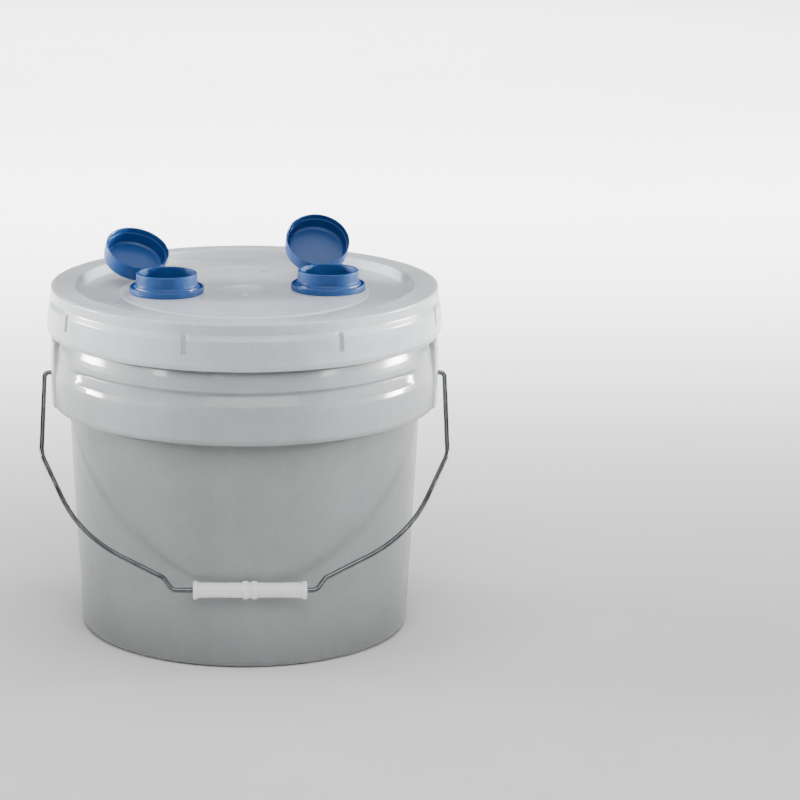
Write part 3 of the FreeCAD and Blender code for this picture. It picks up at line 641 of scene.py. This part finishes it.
for side, s in (("left", -1), ("right", 1)):
    joint = JOINTS["cap_%s_flip" % side]
    pole = Vector(joint["pos_m"])
    axis = Vector(joint["axis"]).normalized()
    out_dir = axis.cross(Vector((0, 0, 1)))          # from the port's axis towards the hinge
    yaw = math.atan2(out_dir.y, out_dir.x)
    centre = Vector((PORTS[side][0] * MM, PORTS[side][1] * MM, 0))
    open_by = -math.radians(joint["range_deg"][0])

    def neck_warp(r, z, th, yaw=yaw):
        g = abs(angle_gap(th, yaw))
        w = float(smooth(np.array((math.radians(15.0) - g) / math.radians(2.2))))
        r2 = r.copy()
        if w > 0:
            lug = smooth((z - 278.3) / 0.5) * smooth((281.3 - z) / 0.5)
            outside = r > 23.9
            r2 = np.where(outside & (z > 278) & (z < 282), r + (27.3 - r) * lug * w, r2)
        # screw thread on the shank, below the lid
        shank = (r > 24.0) & (z < 268.0) & (z > 258.6)
        ph = (z / 3.0 - th / (2 * math.pi)) % 1.0
        tooth = np.clip(1.6 * (0.5 - np.abs(ph - 0.5)), 0, 0.55)
        return np.where(shank, r2 - 0.55 + tooth * 1.0, r2), z

    def port_rows(r, z):
        if r > 23.8 and 277.8 < z < 282.4:
            return 0.3
        if r > 23.8 and z < 268.5:
            return 0.35
        return 6.0

    extra = []
    for sg in (-1, 1):
        for k in range(7):
            extra.append(yaw + sg * math.radians(12.8 + 2.2 * k / 6))
    neck = lathe("port_neck_look_" + side, densify(rounded(neck_prof, step=18), port_rows), around(128, extra), neck_warp, sharp=44.0)
    neck.location = centre
    bpy.context.view_layer.update()
    neck.data.transform(neck.matrix_world)
    neck.matrix_world = Matrix.Identity(4)

    def cap_warp(r, z, th, yaw=yaw):
        g = abs(angle_gap(th, yaw))
        w = float(smooth(np.array((math.radians(13.5) - g) / math.radians(2.0))))
        flat = (r > 25.0) & (z > TOP - 4.2) & (z < TOP + 2.0)
        k = smooth((TOP + 0.9 - z) / 0.8)
        return np.where(flat, r + 0.22 * w * k, r), z

    cap = lathe("port_cap_look_" + side, densify(rounded(cap_prof, step=15), lambda r, z: 0.8 if r > 25 and z < TOP + 2 else 5.0), around(128, extra), cap_warp, sharp=44.0)
    swing = Matrix.Translation(pole) @ Matrix.Rotation(open_by, 4, axis) @ Matrix.Translation(-pole)
    cap.data.transform(swing @ Matrix.Translation(centre))

    # living hinge: strap from the neck's lug, over the hinge line, to the cap's tab
    up = Vector((0, 0, 1))
    c, sn = math.cos(open_by), math.sin(open_by)

    def turned(dr, dz):
        """Point fixed to the cap, given in the closed pose from the pole (outward, up), after opening."""
        return (dr * c + dz * sn, -dr * sn + dz * c)

    a0, a1 = (-0.15, -2.3), (-0.55, -0.6)
    b1, b0 = turned(-0.55, 0.6), turned(-0.75, 2.4)
    ctrl = [a0, (-0.35, -1.4), a1, None, b1, turned(-0.72, 1.5), b0]
    # arc over the pole between the two straight ends
    ang0, ang1 = math.atan2(a1[1], a1[0]), math.atan2(b1[1], b1[0])
    if ang0 < 0:
        ang0 += 2 * math.pi
    while ang1 > ang0:
        ang1 -= 2 * math.pi
    mid = []
    for k in range(1, 12):
        t = k / 12
        ang = ang0 + (ang1 - ang0) * t
        rad = 0.82 + 0.12 * math.sin(math.pi * t)
        mid.append((rad * math.cos(ang), rad * math.sin(ang)))
    line = [a0, (-0.35, -1.4), a1] + mid + [b1, turned(-0.72, 1.5), b0]
    line = np.array(line)
    d = np.gradient(line, axis=0)
    d /= np.linalg.norm(d, axis=1)[:, None]
    nrm = np.stack([-d[:, 1], d[:, 0]], 1)
    half_t = np.full(len(line), 0.36)
    half_t[[0, 1, -1, -2]] = (0.55, 0.48, 0.55, 0.48)
    widths = np.linspace(-6.0, 6.0, 25)
    v, f = [], []
    rows = []
    for i in range(len(line)):
        row = []
        for wv in widths:
            edge = max(0.0, abs(wv) - 5.5) / 0.5
            th = half_t[i] * math.sqrt(max(0.0, 1 - edge * edge * 0.8))
            row.append((line[i] + nrm[i] * th, line[i] - nrm[i] * th, wv))
        rows.append(row)
    def world(p, wv):
        q = pole + out_dir * (p[0] * MM) + up * (p[1] * MM) + axis * (wv * MM)
        return (q.x, q.y, q.z)
    nW = len(widths)
    for row in rows:
        for (p, q, wv) in row:
            v.append(world(p, wv))
        for (p, q, wv) in row:
            v.append(world(q, wv))
    stride = 2 * nW
    for i in range(len(rows) - 1):
        for j in range(nW - 1):
            f.append((i * stride + j, i * stride + j + 1, (i + 1) * stride + j + 1, (i + 1) * stride + j))
            f.append((i * stride + nW + j, (i + 1) * stride + nW + j, (i + 1) * stride + nW + j + 1, i * stride + nW + j + 1))
        for j in (0, nW - 1):
            f.append((i * stride + j, (i + 1) * stride + j, (i + 1) * stride + nW + j, i * stride + nW + j))
    for i in (0, len(rows) - 1):
        for j in range(nW - 1):
            f.append((i * stride + j, i * stride + nW + j, i * stride + nW + j + 1, i * stride + j + 1))
    strap = make("hinge_strap_" + side, v, f, sharp=50.0)
    parts[side] = (neck, cap, strap, pole, out_dir, up)

    # locknut with finger notches, under the lid
    nut_prof = [(24.25, 266.7, 0.2), (24.25, 260.7, 0.5), (29.4, 260.7, 0.8), (30.4, 261.6, 0.8), (30.4, 265.9, 0.8), (29.6, 266.7, 0.4)]

    def nut_warp(r, z, th):
        ph = (th * 12 / (2 * math.pi) + 0.5) % 1.0 - 0.5
        dip = 1.7 * float(smooth(np.array((0.17 - abs(ph)) / 0.06)))
        return np.where(r > 28.0, r - dip, r), z
    nut = lathe("port_locknut_look_" + side, densify(rounded(nut_prof, step=20), 3.0), around(240), nut_warp, sharp=44.0)
    nut.data.transform(Matrix.Translation(centre))
    parts[side] += (nut,)

# ------------------------------------------------------------------ bail
TILT = math.radians(46.0)
EAR_Z = 204.2


def on_bail(x, s):
    return np.array((x, -s * math.sin(TILT), EAR_Z - s * math.cos(TILT)))


right = [(145.6, 0), (159.3, 0), (159.3, 75.7), (127.3, 149.5), (62.0, 186.7), (55.0, 197.3)]
radii = [0, 4.0, 25.0, 226.0, 6.0, 6.0]
flat = [(-x, s, r) for (x, s), r in zip(right, radii)] + [(x, s, r) for (x, s), r in zip(reversed(right), reversed(radii))]
route = densify(rounded(flat, closed=False, step=4.0), 3.0, closed=False)
path = [on_bail(x, s) for x, s in route]
wv, wf = tube("w", path, 1.88, sides=20, wobble=lambda t, a: 0.012 * math.sin(61 * t + 2 * a) + 0.010 * math.sin(173 * t))
wire_parts = [(wv * MM, wf)]
for s in (-1, 1):
    hp = rounded([(0, -1.6, 0), (3.2, -1.6, 0.5), (3.0, 0.3, 0.7), (0, 0.5, 0)], step=18)
    hv, hf = lathe("h", hp, around(32), link=False)
    M = Matrix.Translation(Vector((s * 144.8 * MM, 0, EAR_Z * MM))) @ Matrix.Rotation(s * -math.pi / 2, 4, "Y")
    hv = [tuple(M @ Vector(p)) for p in hv]
    wire_parts.append((hv, hf))
wire = join("bail", wire_parts)

# grip
gp = [(1.97, -43.5, 0.3), (6.6, -43.5, 0.6), (7.2, -42.6, 0.7), (7.2, -40.9, 0.7), (6.35, -39.8, 0.5), (6.0, -38.0, 0.8), (5.68, -22.0, 20.0), (5.85, -6.2, 1.0),
      (6.9, -5.0, 0.5), (7.15, -3.4, 0.8), (6.9, -1.7, 0.6), (6.1, -0.6, 0.4), (6.1, 0.6, 0.4), (6.9, 1.7, 0.6), (7.15, 3.4, 0.8), (6.9, 5.0, 0.5), (5.85, 6.2, 1.0),
      (5.68, 22.0, 20.0), (6.0, 38.0, 0.8), (6.35, 39.8, 0.5), (7.2, 40.9, 0.7), (7.2, 42.6, 0.7), (6.6, 43.5, 0.6), (1.97, 43.5, 0.3)]


def grip_warp(r, z, th):
    # mould parting line along both sides
    g = min(abs(angle_gap(th, 0.9)), abs(angle_gap(th, 0.9 + math.pi)))
    k = float(np.clip(1 - g / 0.05, 0, 1))
    return np.where(r > 4, r + 0.10 * k, r), z


grip_v, grip_f = lathe("g", densify(rounded(gp, step=16), 4.0), around(72, [0.85, 0.9, 0.95, 0.85 + math.pi, 0.9 + math.pi, 0.95 + math.pi]), grip_warp, link=False)
G = Matrix.Translation(Vector(on_bail(4.2, 197.3)) * MM) @ Matrix.Rotation(math.pi / 2, 4, "Y")
grip = make("grip", [tuple(G @ Vector(p)) for p in grip_v], grip_f, sharp=44.0)


# ------------------------------------------------------------------ finishes
def finish_with(obj, mat):
    obj.data.materials.clear()
    obj.data.materials.append(mat)


finish_with(bucket, BODY)
finish_with(gussets, BODY)
finish_with(lid, LID)
finish_with(wire, STEEL)
finish_with(grip, WHITE)
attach(bucket, "bucket")
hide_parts("bucket_shell")
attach(gussets, "bucket")
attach(lid, "lid")
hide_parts("lid_shell")
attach(wire, "bail")
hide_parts("bail_wire")
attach(grip, "grip")
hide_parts("bail_grip")
for side in ("left", "right"):
    neck, cap, strap, pole, out_dir, up, nut = parts[side]
    for o in (neck, cap, strap, nut):
        finish_with(o, BLUE)
    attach(neck, "lid")
    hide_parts("port_neck_" + side)
    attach(nut, "lid")
    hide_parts("port_locknut_" + side)
    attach(cap, "cap_" + side)
    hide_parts("port_cap_" + side)
    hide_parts("hinge_web_" + side)
    lean = out_dir * math.cos(math.radians(25.0)) + Vector((0, 0, 1)) * math.sin(math.radians(25.0))
    a = pole - lean * (0.62 * MM)
    tuple(a)
    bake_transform(strap)
for node, mat in (("lid_gasket", SEAL), ("port_gasket_left", BLACK), ("port_gasket_right", BLACK)):
    o = frame["nodes"][node]
    o.data.materials.clear()
    o.data.materials.append(mat)

# ------------------------------------------------------------------ floor and light
floor_mat = Mat("floor")
fn = floor_mat.noise(3.0, 4.0, 0.6)
floor_mat.l(floor_mat.mix(floor_mat.maprange(fn, 0.3, 0.7, 0.0, 1.0), (0.90, 0.90, 0.90), (0.93, 0.93, 0.93)), floor_mat.bsdf.inputs["Base Color"])
floor_mat.bsdf.inputs["Roughness"].default_value = 0.9
floor_mat.bsdf.inputs["Specular IOR Level"].default_value = 0.1
bpy.ops.mesh.primitive_plane_add(size=16, location=(0, 0, -0.0002))
floor = bpy.context.object
floor.name = "floor"
floor.data.materials.append(floor_mat.m)


def area(name, loc, aim, size, power, size_y=None, spread=180):
    data = bpy.data.lights.new(name, "AREA")
    data.energy = power
    data.shape = "RECTANGLE"
    data.size = size
    data.size_y = size_y or size
    data.spread = math.radians(spread)
    o = bpy.data.objects.new(name, data)
    scene.collection.objects.link(o)
    o.location = loc
    o.rotation_euler = (Vector(aim) - Vector(loc)).to_track_quat("-Z", "Y").to_euler()
    return o


area("top", (0.0, 0.2, 2.3), (0, 0, 0.1), 1.8, 27, 1.6)
area("left", (-1.72, 0.42, 0.56), (0, 0, 0.50), 1.1, 9.0, 0.25, spread=30)
area("right", (1.72, 0.42, 0.56), (0, 0, 0.50), 1.1, 9.8, 0.25, spread=30)
area("left_strip", (-1.55, -0.95, 0.95), (0, 0, 0.22), 0.7, 5.0, 0.12)
area("right_strip", (1.55, -0.95, 0.95), (0, 0, 0.22), 0.7, 5.4, 0.12)
area("front", (0.2, -1.9, 2.0), (0, 0, 0.2), 2.2, 48, 1.6)
area("middle", (0.0, 1.7, 2.4), (0, 1.7, 0), 5.0, 130, 0.9, spread=66)
area("far", (0.0, 3.6, 2.6), (0, 3.6, 0), 4.4, 210, 2.0, spread=90)
area("rear", (0.0, 4.9, 1.3), (0, 0, 0.28), 3.6, 4, 0.9)
world = bpy.data.worlds.new("world")
scene.world = world
world.use_nodes = True
world.node_tree.nodes["Background"].inputs[0].default_value = (0.93, 0.96, 1.0, 1)
world.node_tree.nodes["Background"].inputs[1].default_value = 0.13

bpy.context.view_layer.update()
